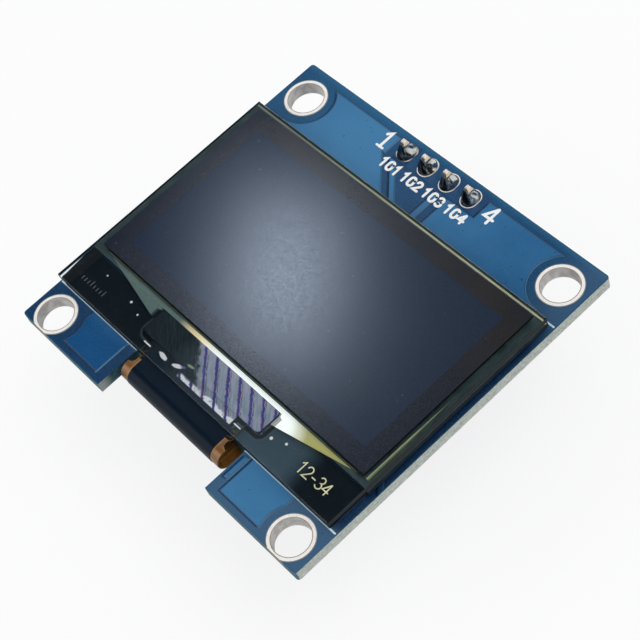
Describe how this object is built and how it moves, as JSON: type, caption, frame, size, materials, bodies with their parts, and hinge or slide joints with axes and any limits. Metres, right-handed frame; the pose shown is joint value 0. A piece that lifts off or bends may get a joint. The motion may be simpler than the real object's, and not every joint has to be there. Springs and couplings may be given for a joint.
{
  "type": "small OLED display module",
  "caption": "Small flat glass display panel on a blue circuit board with corner mounting holes, a pin header and a folded flex cable.",
  "frame": {"origin": "centre of the four mounting holes, on the board's rear face", "axes": "+Z is the way the display faces, +X runs along the header from pin 1 to pin 4, +Y points to the header edge"},
  "size_m": [0.0354, 0.0334, 0.0115],
  "materials": {
    "board": "blue solder mask over fibreglass board",
    "hole_plating": "tin plating, satin",
    "tinned_copper": "tin plating, satin",
    "header_pin": "plated, bright",
    "solder": "bright, lumpy",
    "black_plastic": "matt",
    "foam_tape": "matt foam",
    "cap_glass": "clear glass over a dark layer",
    "drying_sheet": "matt",
    "seam_glue": "cured clear glue",
    "pixel_layer": "slate blue behind the polarizer",
    "front_glass": "clear glass over dark layers",
    "polarizer": "dark film with a soft sheen",
    "electrode_tracks": "thin metal film",
    "chip_silicon": "polished",
    "flex_film": "brown film",
    "flex_cover": "black cover film",
    "black_foam": "matt foam",
    "white_print": "white board print",
    "glass_print": "pale yellow marks on the glass",
    "black_epoxy": "matt moulding",
    "resistor_black": "glazed",
    "capacitor_ceramic": "unglazed ceramic"
  },
  "bodies": {
    "root": {"circuit_board": "board", "header_body": "black_plastic", "mounting_tape": "foam_tape", "rear_glass": "cap_glass", "drying_sheet": "drying_sheet", "edge_seal": "seam_glue", "pixel_layer": "pixel_layer", "front_glass": "front_glass", "polarizer": "polarizer", "electrode_tracks": "electrode_tracks", "driver_chip": "chip_silicon", "ledge_pad": "black_foam", "flex_cable": "flex_film", "flex_cover": "flex_cover", "contact_pads": "tinned_copper", "contact_solder": "solder", "regulator_body": "black_epoxy", "regulator_leads": "tinned_copper", "resistor_bodies": "resistor_black", "resistor_ends": "tinned_copper", "capacitor_bodies": "capacitor_ceramic", "capacitor_ends": "tinned_copper", "part_pads": "tinned_copper", "hole_plating_1": "hole_plating", "header_pin_1": "header_pin", "pin_pad_1": "tinned_copper", "solder_joint_1": "solder", "hole_plating_2": "hole_plating", "header_pin_2": "header_pin", "pin_pad_2": "tinned_copper", "solder_joint_2": "solder", "hole_plating_3": "hole_plating", "header_pin_3": "header_pin", "pin_pad_3": "tinned_copper", "solder_joint_3": "solder", "hole_plating_4": "hole_plating", "header_pin_4": "header_pin", "pin_pad_4": "tinned_copper", "solder_joint_4": "solder"}
  },
  "joints": []
}
